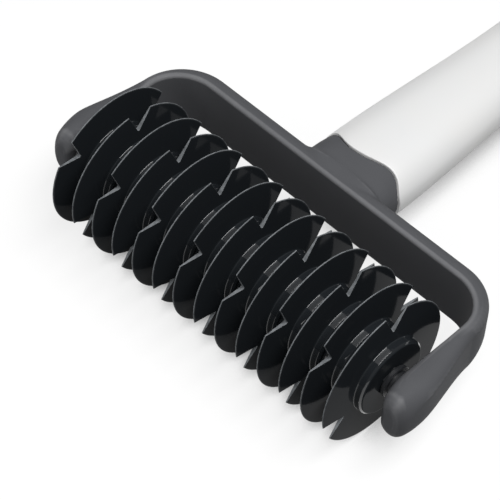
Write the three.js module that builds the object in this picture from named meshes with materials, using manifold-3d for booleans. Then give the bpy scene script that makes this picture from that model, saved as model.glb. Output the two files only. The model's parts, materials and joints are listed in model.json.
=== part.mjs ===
// Lattice roller cutter: a stack of notched discs that turns in a U-shaped yoke on a handle.
// Millimetres, +Z up. The axle runs along X and the handle points to +Y. The tool lies on a table, on the
// rims of its discs and on the end of its handle, with the origin on the table under the middle of its box.

import * as THREE from 'three';
import { mergeVertices } from 'three/addons/utils/BufferGeometryUtils.js';
import Module from 'manifold-3d';

const wasm = await Module();
wasm.setup();

const degrees = THREE.MathUtils.degToRad;

// Cutter discs
const DISC_RADIUS = 21;
const DISC_PITCH = 7.4;
const RIM_THICKNESS = 0.5;
const BLADE_ROOT_THICKNESS = 1.6;
const HUB_RADIUS = 11;
const HUB_LEAD = 3.3;
const HUB_CHAMFER = 0.6;
const NOTCH_COUNT = 3;
const NOTCH_HALF_ANGLE = degrees(10.4);
const NOTCH_DEPTH = 6.3;
const NOTCH_ROOT_WIDTH = 0.5;
const TOP_NOTCH_ANGLE = degrees(82.6);

// Axle
const HEX_FLATS = 7.2;
const JOURNAL_RADIUS = 2.6;
const SHOULDER_RADIUS = 3.4;
const FLANGE_RADIUS = 4.6;
const FLANGE_THICKNESS = 1.3;
const SOCKET_DEPTH = 4;
const STUB_LENGTH = 3;

// Yoke
const ARM_SPAN = 107.8;
const BAR_DISTANCE = 29.7;
const BAR_THICKNESS = 5.2;
const BAR_HEIGHT = 18.2;
const CORNER_RADIUS = 13;
const ARM_WAIST = 3.6;
const ARM_WAIST_HEIGHT = 17.2;
const ARM_BOW = 0.95;
const PAD_THICKNESS = 9.1;
const PAD_HEIGHT = 17;
const PAD_REACH = 10.2;
const PAD_ROUNDING = 9.2;
const PAD_TIP_THICKNESS = 5.2;
const PAD_TIP_HEIGHT = 8.4;
const BAR_INNER_EDGE = 1.6;
const PAD_INNER_EDGE = 2.5;
const BAR_OUTER_ROUND = 4.2;
const ARM_OUTER_ROUND = 9.4;
const ARM_TOP_ROUND = 3;
const PAD_OUTER_ROUND = 8.4;
const PAD_TOP_ROUND = 2.6;
const ARM_EASE = 0.25;
const NECK_STEP = 0.3;
const NECK_FILLET = 2;

// Handle
const MOUTH_GAP = 6.9;
const MOUTH_WAVE = 2.4;
const MOUTH_WIDTH = 28.5;
const MOUTH_HEIGHT = 18;
const MOUTH_EDGE = 0.5;
const HANDLE_LENGTH = 131;
const GRIP_WAIST_AT = 68;
const GRIP_WAIST_WIDTH = 22.9;
const GRIP_WAIST_HEIGHT = 16.2;
const TAIL_AT = 110;
const TAIL_WIDTH = 25.8;
const TAIL_HEIGHT = 16.4;
const TAIL_ROUNDING = 13;
const TAIL_TIP_WIDTH = 5.2;
const TAIL_TIP_HEIGHT = 6.6;
const SECTION_POWER = 2.3;
const SHELL_WALL = 2.6;
const HANG_HOLE_RADIUS = 4;
const HANG_HOLE_INSET = 12;

// Fits
const SEAM = 0.3;
const RUNNING_FIT = 0.1;
const HEX_FIT = 0.15;
const END_PLAY = 0.8;
const CUT_MARGIN = 1;

// Facets
const DISC_SIDES = 36;
const PIN_SIDES = 24;
const CORNER_STEPS = 8;
const ARM_STEPS = 8;
const PAD_STEPS = 7;
const EDGE_STEPS = 5;
const OVAL_SIDES = 32;
const GRIP_STEPS = 11;
const TANG_STEPS = 5;
const TAIL_STEPS = 6;
const FILLET_STEPS = 4;

// Counts and places that follow from the sizes above. The arms hold as many discs as leave the axle a bare stub.
const discCount = Math.floor((ARM_SPAN - END_PLAY - STUB_LENGTH) / DISC_PITCH);
const armInnerX = ARM_SPAN / 2;
const hubTrail = DISC_PITCH - HUB_LEAD - SEAM;
const stackLeft = END_PLAY - armInnerX;
const firstDiscX = stackLeft + hubTrail;
const lastDiscX = firstDiscX + (discCount - 1) * DISC_PITCH;
const stackRight = lastDiscX + HUB_LEAD;
const socketEndX = armInnerX + SOCKET_DEPTH;
const journalEndX = socketEndX - SEAM;
const barMiddleY = BAR_DISTANCE + BAR_THICKNESS / 2;
const barBackY = BAR_DISTANCE + BAR_THICKNESS;
const mouthY = barBackY + MOUTH_GAP;
const tailEndY = mouthY + HANDLE_LENGTH;
const cavityEndY = tailEndY - HANG_HOLE_INSET - HANG_HOLE_RADIUS - SHELL_WALL;

const smooth = (t) => THREE.MathUtils.smoothstep(t, 0, 1);
const mix = THREE.MathUtils.lerp;

// Solids and meshes

function solidFrom(geometry) {
  const bare = geometry.index ? geometry.clone() : geometry;
  bare.deleteAttribute('normal');
  bare.deleteAttribute('uv');
  const merged = mergeVertices(bare, 1e-4);
  const mesh = new wasm.Mesh({
    numProp: 3,
    vertProperties: new Float32Array(merged.attributes.position.array),
    triVerts: new Uint32Array(merged.index.array),
  });
  return new wasm.Manifold(mesh);
}

function geometryFrom(solid) {
  const mesh = solid.getMesh();
  const geometry = new THREE.BufferGeometry();
  geometry.setAttribute('position', new THREE.BufferAttribute(new Float32Array(mesh.vertProperties), 3));
  geometry.setIndex(new THREE.BufferAttribute(new Uint32Array(mesh.triVerts), 1));
  geometry.computeVertexNormals();
  return geometry;
}

// A closed skin through rings of points, each ring having as many points as the next, with flat fans at both ends.
function loft(rings) {
  const sides = rings[0].length;
  const points = rings.flat();
  const triangles = [];
  for (let r = 0; r + 1 < rings.length; r += 1) {
    for (let k = 0; k < sides; k += 1) {
      const a = r * sides + k;
      const b = r * sides + (k + 1) % sides;
      triangles.push(a, b, b + sides, a, b + sides, a + sides);
    }
  }
  const middle = (ring) => ring.reduce((sum, p) => sum.add(p), new THREE.Vector3()).divideScalar(sides);
  const last = (rings.length - 1) * sides;
  const first = points.push(middle(rings[0])) - 1;
  const final = points.push(middle(rings[rings.length - 1])) - 1;
  for (let k = 0; k < sides; k += 1) {
    const next = (k + 1) % sides;
    triangles.push(first, next, k, final, last + k, last + next);
  }
  if (enclosedVolume(points, triangles) < 0) {
    triangles.reverse();
  }
  const geometry = new THREE.BufferGeometry().setFromPoints(points);
  geometry.setIndex(triangles);
  return geometry;
}

function enclosedVolume(points, triangles) {
  const normal = new THREE.Vector3();
  let sum = 0;
  for (let i = 0; i < triangles.length; i += 3) {
    normal.crossVectors(points[triangles[i + 1]], points[triangles[i + 2]]);
    sum += points[triangles[i]].dot(normal);
  }
  return sum / 6;
}

// Turned pieces: a profile of [radius, place along X] pairs, turned about X
function turned(profile, sides) {
  const geometry = new THREE.LatheGeometry(profile.map(([r, x]) => new THREE.Vector2(r, x)), sides);
  return solidFrom(geometry.rotateZ(-Math.PI / 2));
}

// A flat outline in the YZ plane, drawn out along X
function prismAlongX(outline, fromX, toX) {
  const shape = new THREE.Shape(outline.map(([y, z]) => new THREE.Vector2(y, z)));
  const geometry = new THREE.ExtrudeGeometry(shape, { depth: toX - fromX, bevelEnabled: false });
  const axes = [new THREE.Vector3(0, 1, 0), new THREE.Vector3(0, 0, 1), new THREE.Vector3(1, 0, 0)];
  geometry.applyMatrix4(new THREE.Matrix4().makeBasis(...axes));
  return solidFrom(geometry.translate(fromX, 0, 0));
}

function hexagon(acrossFlats) {
  const corner = acrossFlats / Math.sqrt(3);
  return Array.from({ length: 6 }, (_, k) => {
    const angle = TOP_NOTCH_ANGLE + k * Math.PI / 3;
    return [corner * Math.cos(angle), corner * Math.sin(angle)];
  });
}

// One cutter disc: a wedge-section blade on a chamfered hub, with V notches and a hexagonal bore
function cutterDisc() {
  const rim = RIM_THICKNESS / 2;
  const root = BLADE_ROOT_THICKNESS / 2;
  const body = turned([
    [0, -hubTrail],
    [HUB_RADIUS - HUB_CHAMFER, -hubTrail],
    [HUB_RADIUS, -hubTrail + HUB_CHAMFER],
    [HUB_RADIUS, -root],
    [DISC_RADIUS, -rim],
    [DISC_RADIUS, rim],
    [HUB_RADIUS, root],
    [HUB_RADIUS, HUB_LEAD - HUB_CHAMFER],
    [HUB_RADIUS - HUB_CHAMFER, HUB_LEAD],
    [0, HUB_LEAD],
  ], DISC_SIDES);
  let disc = body.subtract(
    prismAlongX(hexagon(HEX_FLATS + 2 * HEX_FIT), -hubTrail - CUT_MARGIN, HUB_LEAD + CUT_MARGIN),
  );
  for (let n = 0; n < NOTCH_COUNT; n += 1) {
    disc = disc.subtract(notchCutter(TOP_NOTCH_ANGLE + n * 2 * Math.PI / NOTCH_COUNT));
  }
  return geometryFrom(disc);
}

function notchCutter(angle) {
  const across = new THREE.Vector2(-Math.sin(angle), Math.cos(angle));
  const outward = new THREE.Vector2(Math.cos(angle), Math.sin(angle));
  const at = (radius, side) => {
    const p = outward.clone().multiplyScalar(radius).addScaledVector(across, side);
    return [p.x, p.y];
  };
  const rootRadius = DISC_RADIUS - NOTCH_DEPTH;
  const rimRadius = DISC_RADIUS * Math.cos(NOTCH_HALF_ANGLE);
  const rootSide = NOTCH_ROOT_WIDTH / 2;
  const rimSide = DISC_RADIUS * Math.sin(NOTCH_HALF_ANGLE);
  const slope = (rimSide - rootSide) / (rimRadius - rootRadius);
  const farSide = rimSide + slope * (DISC_RADIUS + CUT_MARGIN - rimRadius);
  const outline = [
    at(rootRadius, -rootSide),
    at(DISC_RADIUS + CUT_MARGIN, -farSide),
    at(DISC_RADIUS + CUT_MARGIN, farSide),
    at(rootRadius, rootSide),
  ];
  return prismAlongX(outline, -BLADE_ROOT_THICKNESS, BLADE_ROOT_THICKNESS);
}

// The axle: a hexagonal bar for the hubs, a flange and shoulder at the right, and a journal at each end
function axle() {
  const hexStart = stackLeft + SEAM;
  const flangeStart = stackRight + SEAM;
  const flangeEnd = flangeStart + FLANGE_THICKNESS;
  const bar = prismAlongX(hexagon(HEX_FLATS), hexStart, flangeEnd - FLANGE_THICKNESS / 2);
  const leftJournal = turned([
    [0, -journalEndX],
    [JOURNAL_RADIUS, -journalEndX],
    [JOURNAL_RADIUS, hexStart + CUT_MARGIN],
    [0, hexStart + CUT_MARGIN],
  ], PIN_SIDES);
  const rightEnd = turned([
    [0, flangeStart],
    [FLANGE_RADIUS, flangeStart],
    [FLANGE_RADIUS, flangeEnd],
    [SHOULDER_RADIUS, flangeEnd],
    [SHOULDER_RADIUS, armInnerX - END_PLAY],
    [JOURNAL_RADIUS, armInnerX - END_PLAY],
    [JOURNAL_RADIUS, journalEndX],
    [0, journalEndX],
  ], PIN_SIDES);
  return geometryFrom(bar.add(leftJournal).add(rightEnd));
}

// The yoke's strip is led round a U. Its section is flat inside, with small edges, and rounds over outside, on the
// arms less at the top than at the bottom. Each station holds the section's place in plan, its thickness, its height
// and its roundings.
function yokeStations() {
  const stations = [];
  const cornerX = armInnerX + ARM_BOW + ARM_WAIST / 2 - CORNER_RADIUS;
  const cornerY = barMiddleY - CORNER_RADIUS;
  for (let k = 0; k <= CORNER_STEPS; k += 1) {
    const t = k / CORNER_STEPS;
    const angle = Math.PI / 2 * (1 - t);
    stations.push({
      x: cornerX + CORNER_RADIUS * Math.cos(angle),
      y: cornerY + CORNER_RADIUS * Math.sin(angle),
      thickness: mix(BAR_THICKNESS, ARM_WAIST, smooth(t)),
      height: BAR_HEIGHT,
      innerEdge: BAR_INNER_EDGE,
      outerRound: mix(BAR_OUTER_ROUND, ARM_OUTER_ROUND, smooth(t)),
      topRound: mix(BAR_OUTER_ROUND, ARM_TOP_ROUND, smooth(t)),
    });
  }
  const padStart = PAD_ROUNDING - PAD_REACH;
  for (let k = 1; k <= ARM_STEPS; k += 1) {
    const t = k / ARM_STEPS;
    const swell = mix(t, smooth(t), ARM_EASE);
    const thickness = mix(ARM_WAIST, PAD_THICKNESS, swell);
    const waist = ARM_WAIST_HEIGHT - (BAR_HEIGHT + PAD_HEIGHT) / 2;
    stations.push({
      x: armInnerX + ARM_BOW * (1 - swell) + thickness / 2,
      y: mix(cornerY, padStart, t),
      thickness,
      height: mix(BAR_HEIGHT, PAD_HEIGHT, t) + waist * 4 * t * (1 - t),
      innerEdge: mix(BAR_INNER_EDGE, PAD_INNER_EDGE, swell),
      outerRound: mix(ARM_OUTER_ROUND, PAD_OUTER_ROUND, swell),
      topRound: mix(ARM_TOP_ROUND, PAD_TOP_ROUND, swell),
    });
  }
  for (let k = 1; k <= PAD_STEPS; k += 1) {
    const angle = Math.PI / 2 * k / PAD_STEPS;
    const swell = Math.cos(angle);
    stations.push({
      x: armInnerX + PAD_THICKNESS / 2,
      y: padStart - PAD_ROUNDING * Math.sin(angle),
      thickness: mix(PAD_TIP_THICKNESS, PAD_THICKNESS, swell),
      height: mix(PAD_TIP_HEIGHT, PAD_HEIGHT, swell),
      innerEdge: PAD_INNER_EDGE,
      outerRound: PAD_OUTER_ROUND,
      topRound: PAD_TOP_ROUND,
    });
  }
  const mirrored = stations.map((s) => ({ ...s, x: -s.x })).reverse();
  return [...mirrored, ...stations];
}

function yokeRing(station, along) {
  const across = new THREE.Vector3(-along.y, along.x, 0);
  const halfH = station.height / 2;
  const inner = Math.min(station.innerEdge, 0.48 * station.thickness, 0.96 * halfH);
  const outer = Math.min(station.outerRound, 0.96 * halfH);
  const outerTop = Math.min(station.topRound, 0.96 * halfH);
  const outerWidth = 0.94 * (station.thickness - inner);
  const innerMiddle = inner - station.thickness / 2;
  const outerMiddle = station.thickness / 2 - outerWidth;
  const ring = [];
  for (let corner = 0; corner < 4; corner += 1) {
    const outside = corner === 0 || corner === 3;
    const side = corner < 2 ? 1 : -1;
    const outerRise = corner === 0 ? outerTop : outer;
    const rise = outside ? outerRise : inner;
    for (let k = 0; k <= EDGE_STEPS; k += 1) {
      const angle = (corner + k / EDGE_STEPS) * Math.PI / 2;
      const u = outside ? outerMiddle + outerWidth * Math.cos(angle) : innerMiddle + inner * Math.cos(angle);
      const v = side * (halfH - rise) + rise * Math.sin(angle);
      ring.push(new THREE.Vector3(station.x, station.y, v).addScaledVector(across, u));
    }
  }
  return ring;
}

function yokeStrip() {
  const stations = yokeStations();
  const rings = stations.map((station, i) => {
    const before = stations[Math.max(i - 1, 0)];
    const after = stations[Math.min(i + 1, stations.length - 1)];
    const along = new THREE.Vector3(after.x - before.x, after.y - before.y, 0).normalize();
    return yokeRing(station, along);
  });
  return solidFrom(loft(rings));
}

// The handle's half width and half height at a distance along it, without the rounding of its end
function gripHalf(y) {
  const along = y - mouthY;
  const toWaist = smooth(along / GRIP_WAIST_AT);
  const toTail = smooth((along - GRIP_WAIST_AT) / (TAIL_AT - GRIP_WAIST_AT));
  const width = mix(mix(MOUTH_WIDTH, GRIP_WAIST_WIDTH, toWaist), TAIL_WIDTH, toTail);
  const height = mix(mix(MOUTH_HEIGHT, GRIP_WAIST_HEIGHT, toWaist), TAIL_HEIGHT, toTail);
  return { a: width / 2, b: height / 2 };
}

// The mouth of the handle comes farther forward over the top and the sides than at the four shoulders
function mouthWave(angle) {
  return MOUTH_WAVE * (1 - Math.cos(4 * angle)) / 2;
}

// A ring of the handle's oval section. y and inset may depend on the angle round the section.
function ovalRing(placeAt, insetAt, swell = { a: 1, b: 1 }) {
  return Array.from({ length: OVAL_SIDES }, (_, k) => {
    const angle = 2 * Math.PI * k / OVAL_SIDES;
    const y = placeAt(angle);
    const half = gripHalf(Math.max(y, mouthY));
    const c = Math.cos(angle);
    const s = Math.sin(angle);
    const power = 2 / SECTION_POWER;
    const inset = insetAt(angle);
    const x = (half.a * swell.a - inset) * Math.sign(c) * Math.abs(c) ** power;
    const z = (half.b * swell.b - inset) * Math.sign(s) * Math.abs(s) ** power;
    return new THREE.Vector3(x, y, z);
  });
}

const always = (value) => () => value;

// The neck grows out of the back bar through a fillet, ends at the handle's mouth and goes on as a tang
function neckAndTang() {
  const shoulder = (angle) => mouthY + mouthWave(angle) - SEAM;
  const tangInset = SHELL_WALL + SEAM;
  const tangEndY = cavityEndY - SEAM;
  const rings = [ovalRing(always(barMiddleY), always(NECK_STEP))];
  for (let k = 0; k <= FILLET_STEPS; k += 1) {
    const angle = Math.PI / 2 * k / FILLET_STEPS;
    const spread = NECK_FILLET * (1 - Math.sin(angle));
    const place = barBackY + NECK_FILLET * (1 - Math.cos(angle));
    const inset = (round) => NECK_STEP - spread * Math.abs(Math.cos(round));
    rings.push(ovalRing(always(place), inset));
  }
  rings.push(ovalRing(shoulder, always(NECK_STEP)));
  rings.push(ovalRing(shoulder, always(tangInset)));
  const tangStart = mouthY + MOUTH_WAVE + NECK_FILLET;
  for (let k = 0; k <= TANG_STEPS; k += 1) {
    rings.push(ovalRing(always(mix(tangStart, tangEndY, k / TANG_STEPS)), always(tangInset)));
  }
  return solidFrom(loft(rings));
}

function yoke() {
  const sockets = [-1, 1].map((side) => {
    const inner = side * (armInnerX - CUT_MARGIN);
    const ends = [inner, side * socketEndX].sort((a, b) => a - b);
    const radius = JOURNAL_RADIUS + RUNNING_FIT;
    return turned([[0, ends[0]], [radius, ends[0]], [radius, ends[1]], [0, ends[1]]], PIN_SIDES);
  });
  const body = yokeStrip().add(neckAndTang());
  return geometryFrom(body.subtract(sockets[0]).subtract(sockets[1]));
}

// The handle is a shell with a rounded tail, open at its mouth for the tang and pierced for hanging up
function handle() {
  const mouth = (angle) => mouthY + mouthWave(angle);
  const lip = (angle) => mouth(angle) + MOUTH_EDGE;
  const inner = mouthY + MOUTH_WAVE + NECK_FILLET;
  const rings = [];
  for (let k = TANG_STEPS; k >= 0; k -= 1) {
    rings.push(ovalRing(always(mix(inner, cavityEndY, k / TANG_STEPS)), always(SHELL_WALL)));
  }
  rings.push(ovalRing(mouth, always(SHELL_WALL)));
  rings.push(ovalRing(mouth, always(MOUTH_EDGE)));
  rings.push(ovalRing(lip, always(0)));
  const tailStart = tailEndY - TAIL_ROUNDING;
  for (let k = 0; k <= GRIP_STEPS; k += 1) {
    rings.push(ovalRing(always(mix(inner, tailStart, k / GRIP_STEPS)), always(0)));
  }
  for (let k = 1; k <= TAIL_STEPS; k += 1) {
    const angle = Math.PI / 2 * k / TAIL_STEPS;
    const swell = {
      a: mix(TAIL_TIP_WIDTH / TAIL_WIDTH, 1, Math.cos(angle)),
      b: mix(TAIL_TIP_HEIGHT / TAIL_HEIGHT, 1, Math.cos(angle)),
    };
    rings.push(ovalRing(always(tailStart + TAIL_ROUNDING * Math.sin(angle)), always(0), swell));
  }
  const hole = new THREE.CylinderGeometry(HANG_HOLE_RADIUS, HANG_HOLE_RADIUS, 2 * TAIL_HEIGHT, PIN_SIDES);
  hole.rotateX(Math.PI / 2).translate(0, tailEndY - HANG_HOLE_INSET, 0);
  return geometryFrom(solidFrom(loft(rings)).subtract(solidFrom(hole)));
}

// The handle sinks about the axle until its tail lies as low as the rims of the discs
function restingTilt(geometry) {
  const positions = geometry.attributes.position;
  const lowest = (tilt) => {
    let least = Infinity;
    for (let i = 0; i < positions.count; i += 1) {
      const z = positions.getZ(i) * Math.cos(tilt) - positions.getY(i) * Math.sin(tilt);
      least = Math.min(least, z);
    }
    return least;
  };
  let level = 0;
  let steep = Math.PI / 6;
  for (let step = 0; step < 40; step += 1) {
    const tilt = (level + steep) / 2;
    if (lowest(tilt) > -DISC_RADIUS) {
      level = tilt;
    } else {
      steep = tilt;
    }
  }
  return level;
}

const plastic = (color, roughness) => new THREE.MeshStandardMaterial({ color, roughness, metalness: 0 });
const BLACK_GLOSS = plastic(0x15181b, 0.22);
const GREY_MATTE = plastic(0x58595d, 0.6);
const WHITE_SATIN = plastic(0xf1f1ef, 0.35);

function piece(name, geometry, material) {
  const mesh = new THREE.Mesh(geometry, material);
  mesh.name = name;
  return mesh;
}

const handleGeometry = handle();
const tilt = restingTilt(handleGeometry);

const frame = new THREE.Group();
frame.add(piece('yoke', yoke(), GREY_MATTE), piece('handle_shell', handleGeometry, WHITE_SATIN));

const roller = new THREE.Group();
roller.add(piece('axle', axle(), BLACK_GLOSS));
const discGeometry = cutterDisc();
for (let k = 0; k < discCount; k += 1) {
  const disc = piece(`cutter_disc_${String(k + 1).padStart(2, '0')}`, discGeometry, BLACK_GLOSS);
  disc.position.x = firstDiscX + k * DISC_PITCH;
  disc.rotation.x = k % 2 === 1 ? 0 : Math.PI / NOTCH_COUNT;
  roller.add(disc);
}

const tool = new THREE.Group();
tool.add(frame, roller);
tool.rotation.x = -tilt;
const stand = new THREE.Group();
stand.add(tool);
stand.updateMatrixWorld(true);
const box = new THREE.Box3().setFromObject(stand, true);
tool.position.set(0, -(box.min.y + box.max.y) / 2, -box.min.z);

export default stand;
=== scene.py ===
# %% [markdown]
# # A lattice roller cutter
# The tool slits a sheet of dough into a lattice. Fourteen notched discs turn on one axle between the
# arms of a yoke, and the yoke ends in a handle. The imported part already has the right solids, but
# their faces are flat facets, as a machine would cut them. This lesson keeps the solids as the
# measure of everything and gives each piece the smooth skin and the finish of the real one.

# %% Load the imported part
import json
import math

import bmesh
import bpy
import numpy as np
from mathutils import Matrix, Quaternion, Vector

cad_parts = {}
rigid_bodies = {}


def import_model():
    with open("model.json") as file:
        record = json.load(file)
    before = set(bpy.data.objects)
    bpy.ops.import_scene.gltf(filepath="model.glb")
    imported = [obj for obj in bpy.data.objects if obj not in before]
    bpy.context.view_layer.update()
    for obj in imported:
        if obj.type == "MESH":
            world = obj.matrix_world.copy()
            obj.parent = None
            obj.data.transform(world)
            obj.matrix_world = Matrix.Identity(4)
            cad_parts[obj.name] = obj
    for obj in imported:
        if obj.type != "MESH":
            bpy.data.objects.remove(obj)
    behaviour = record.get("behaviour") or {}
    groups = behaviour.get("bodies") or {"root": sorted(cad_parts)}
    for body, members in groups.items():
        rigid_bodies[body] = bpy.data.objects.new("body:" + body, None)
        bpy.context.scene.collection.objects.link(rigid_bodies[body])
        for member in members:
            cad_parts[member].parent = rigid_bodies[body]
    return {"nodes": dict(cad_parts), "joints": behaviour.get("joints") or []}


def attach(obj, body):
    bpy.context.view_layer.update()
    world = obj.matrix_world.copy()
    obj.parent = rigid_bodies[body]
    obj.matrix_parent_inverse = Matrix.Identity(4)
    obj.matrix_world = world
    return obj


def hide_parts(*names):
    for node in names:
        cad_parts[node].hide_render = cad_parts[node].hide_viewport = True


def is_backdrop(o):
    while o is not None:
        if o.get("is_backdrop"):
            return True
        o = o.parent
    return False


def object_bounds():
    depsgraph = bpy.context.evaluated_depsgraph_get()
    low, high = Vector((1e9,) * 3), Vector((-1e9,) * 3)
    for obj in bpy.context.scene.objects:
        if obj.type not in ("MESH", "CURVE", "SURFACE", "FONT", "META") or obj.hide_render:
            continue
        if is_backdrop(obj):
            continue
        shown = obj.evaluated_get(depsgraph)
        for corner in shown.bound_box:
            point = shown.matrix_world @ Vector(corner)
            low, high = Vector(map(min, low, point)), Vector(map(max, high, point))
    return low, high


for leftover in list(bpy.data.objects):
    bpy.data.objects.remove(leftover)
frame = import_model()
cad_low, cad_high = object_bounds()
print("CAD box in mm:", [round(1000 * side, 1) for side in cad_high - cad_low])

# %% [markdown]
# ## The tool's own frame
# A maker draws the tool straight: the axle along X through the origin and the handle along +Y. On the
# table it lies a little tilted, because the handle's end is thinner than the discs are high. So every
# piece is made straight, in metres, and one matrix lays its finished mesh down on the table.

# %% From the tool's own frame to the table
MM = 0.001
AXLE = Vector(frame["joints"][0]["pos_m"])
HANDLE_TILT = math.radians(4.611)
LAY = Matrix.Translation(AXLE) @ Matrix.Rotation(-HANDLE_TILT, 4, "X")
UPRIGHT = LAY.inverted()
print("axle at", [round(1000 * v, 2) for v in AXLE], "mm")

# %% [markdown]
# ## Node trees written as sums
# Blender keeps both shapes and finishes as trees of nodes. Placing dozens of Math nodes by hand hides
# the sum that they stand for. The class below wraps one socket and gives it Python's own operators,
# so that a sum in the text becomes Math nodes in the tree. Other kinds of node come from its method
# node.

# %% A socket that can be reckoned with


class Wire:
    """One output socket of a node tree. Sums written on it add Math nodes."""

    def __init__(self, tree, socket):
        self.tree = tree
        self.socket = socket

    @classmethod
    def node(cls, tree, kind, settings=None, inputs=None, output=0):
        """Adds a node: its settings first, then the values or links of its sockets."""
        made = tree.nodes.new(kind)
        for key, value in (settings or {}).items():
            setattr(made, key, value)
        for key, value in (inputs or {}).items():
            if isinstance(value, Wire):
                tree.links.new(value.socket, made.inputs[key])
            else:
                made.inputs[key].default_value = value
        return cls(tree, made.outputs[output]) if made.outputs else None

    def out(self, name):
        """Another output of the same node."""
        return Wire(self.tree, self.socket.node.outputs[name])

    def math(self, operation, *values):
        return Wire.node(self.tree, "ShaderNodeMath", {"operation": operation}, dict(enumerate(values)))

    def __add__(self, other):
        return self.math("ADD", self, other)

    def __radd__(self, other):
        return self.math("ADD", other, self)

    def __sub__(self, other):
        return self.math("SUBTRACT", self, other)

    def __rsub__(self, other):
        return self.math("SUBTRACT", other, self)

    def __mul__(self, other):
        return self.math("MULTIPLY", self, other)

    def __rmul__(self, other):
        return self.math("MULTIPLY", other, self)

    def __truediv__(self, other):
        return self.math("DIVIDE", self, other)

    def __rtruediv__(self, other):
        return self.math("DIVIDE", other, self)

    def __pow__(self, other):
        return self.math("POWER", self, other)

    def __abs__(self):
        return self.math("ABSOLUTE", self)

    def __lt__(self, other):
        return self.math("LESS_THAN", self, other)

    def floor(self):
        return self.math("FLOOR", self)

    def sign(self):
        return self.math("SIGN", self)

    def cos(self):
        return self.math("COSINE", self)

    def sin(self):
        return self.math("SINE", self)

    def least(self, other):
        return self.math("MINIMUM", self, other)

    def most(self, other):
        return self.math("MAXIMUM", self, other)

    def ramp(self, start, end, low=0.0, high=1.0):
        """A straight ramp from low to high, held level outside start and end."""
        return Wire.node(self.tree, "ShaderNodeMapRange", {"clamp": True},
                         {0: self, 1: start, 2: end, 3: low, 4: high})

    def parts(self):
        """The three numbers of a vector."""
        split = Wire.node(self.tree, "ShaderNodeSeparateXYZ", None, {"Vector": self})
        return split, split.out("Y"), split.out("Z")


def joined(tree, x, y, z):
    """A vector from three numbers."""
    return Wire.node(tree, "ShaderNodeCombineXYZ", None, {"X": x, "Y": y, "Z": z})


print("operators ready")

# %% [markdown]
# ## Growing a mesh with a tree
# A Geometry Nodes tree is a recipe, and a modifier runs it on an object. The recipe gets one named
# input for each size. The helpers below make such a tree and run it. The result is turned into a
# plain mesh that keeps the shape without the modifiers.

# %% Make a tree with named inputs, and run it
SOCKET_KINDS = {"int": "NodeSocketInt", "float": "NodeSocketFloat", "Material": "NodeSocketMaterial"}


def growing_tree(name, sizes):
    """A tree with a Geometry socket at both ends and one input for each named size."""
    tree = bpy.data.node_groups.new(name, "GeometryNodeTree")
    tree.interface.new_socket("Geometry", in_out="OUTPUT", socket_type="NodeSocketGeometry")
    tree.interface.new_socket("Geometry", in_out="INPUT", socket_type="NodeSocketGeometry")
    for label, value in sizes.items():
        kind = SOCKET_KINDS[type(value).__name__]
        tree.interface.new_socket(label, in_out="INPUT", socket_type=kind)
    entry = tree.nodes.new("NodeGroupInput")
    return tree, {socket.name: Wire(tree, socket) for socket in entry.outputs if socket.name}


def put_in_scene(name, mesh):
    made = bpy.data.objects.new(name, mesh)
    bpy.context.scene.collection.objects.link(made)
    return made


def plain_mesh(holder):
    """The holder's evaluated shape as a mesh of its own. The holder and its modifiers are removed."""
    depsgraph = bpy.context.evaluated_depsgraph_get()
    ready = holder.evaluated_get(depsgraph)
    mesh = bpy.data.meshes.new_from_object(ready, preserve_all_data_layers=True, depsgraph=depsgraph)
    bpy.data.objects.remove(holder)
    return mesh


def grown(name, tree, start, sizes):
    """Runs the tree on a start mesh and returns the mesh that grew."""
    holder = put_in_scene(name, start)
    modifier = holder.modifiers.new(name, "NODES")
    modifier.node_group = tree
    for item in tree.interface.items_tree:
        if item.in_out == "INPUT" and item.name in sizes:
            modifier[item.identifier] = sizes[item.name]
    return plain_mesh(holder)


def named(tree, kind, name):
    """Reads an attribute that was stored under a name."""
    return Wire.node(tree, "GeometryNodeInputNamedAttribute", {"data_type": kind}, {"Name": name})


def stored(tree, geometry, kind, name, value):
    """Stores a value on every point under a name."""
    return Wire.node(tree, "GeometryNodeStoreNamedAttribute", {"data_type": kind, "domain": "POINT"},
                     {"Geometry": geometry, "Name": name, "Value": value})


def placed(tree, geometry, position):
    return Wire.node(tree, "GeometryNodeSetPosition", None,
                     {"Geometry": geometry, "Position": position})


print("tree helpers ready")

# %% [markdown]
# ## Meshes by hand
# What doesn't repeat is quicker to make point by point. A skin is led through rings of points, as a
# boat's planks go over its ribs. Every mesh is turned the right way out and shaded smooth, and only
# edges sharper than a given angle stay crisp.

# %% Skins through rings, and the last touches that every mesh gets
CRISP_ANGLE = math.radians(38)


def skin(mesh, rings):
    """Adds a closed skin through rings that have equal numbers of points, with a fan over each end."""
    sides = len(rings[0])
    rows = [[mesh.verts.new(point) for point in ring] for ring in rings]
    for row, after in zip(rows, rows[1:]):
        for k in range(sides):
            n = (k + 1) % sides
            mesh.faces.new((row[k], row[n], after[n], after[k]))
    for row in (rows[0], rows[-1]):
        middle = mesh.verts.new(sum((vert.co for vert in row), Vector()) / sides)
        for k in range(sides):
            mesh.faces.new((row[k], row[(k + 1) % sides], middle))


def settled(mesh, shape=None):
    """Turns a mesh right side out, shades it smooth and keeps its sharp edges crisp."""
    work = shape or bmesh.new()
    if shape is None:
        work.from_mesh(mesh)
    bmesh.ops.recalc_face_normals(work, faces=work.faces)
    work.to_mesh(mesh)
    work.free()
    mesh.shade_smooth()
    mesh.set_sharp_from_angle(angle=CRISP_ANGLE)
    return mesh


def new_skin(name, *skins):
    """A mesh from one or more lists of rings."""
    work = bmesh.new()
    for rings in skins:
        skin(work, rings)
    return settled(bpy.data.meshes.new(name), work)


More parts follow.
